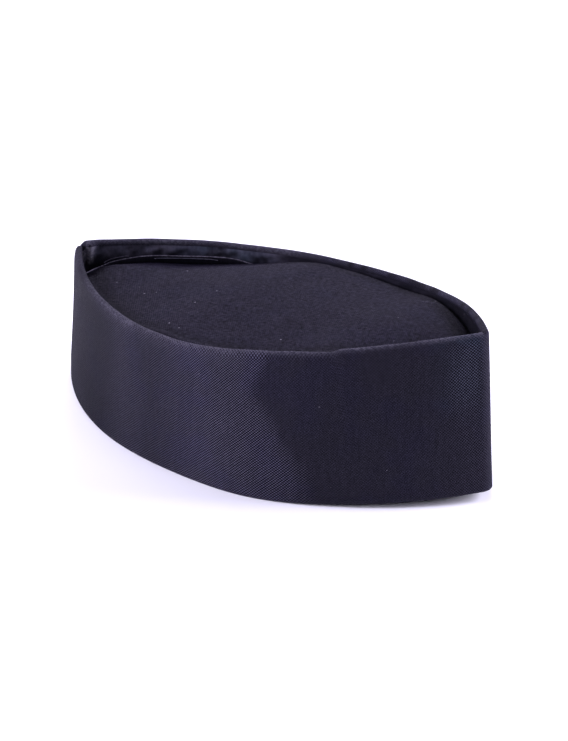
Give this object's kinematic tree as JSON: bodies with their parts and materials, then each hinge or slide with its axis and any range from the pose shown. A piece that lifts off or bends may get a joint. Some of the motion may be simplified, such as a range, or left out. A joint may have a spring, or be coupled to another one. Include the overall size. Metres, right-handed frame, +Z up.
{
  "type": "gandhi cap",
  "caption": "Boat-shaped folding cap: a stiff doubled side band with a rolled rim round a domed crown, open below for the head.",
  "frame": {"origin": "middle of the cap's footprint, on the surface that it rests on", "axes": "+X towards the front tip, where the rim is highest, +Y towards the far side in the picture, +Z up"},
  "size_m": [0.2538, 0.1346, 0.0787],
  "materials": {
    "shell_twill": "black twill with a slight sheen",
    "facing_satin": "smooth black satin, softly creased",
    "inner_twill": "plain black twill",
    "welt_twill": "folded black twill edge",
    "crown_twill": "matt black fine twill"
  },
  "bodies": {
    "root": {"side_band": "shell_twill", "band_facing": "facing_satin", "inner_side": "inner_twill", "crown_welt": "welt_twill", "crown": "crown_twill"}
  },
  "joints": []
}
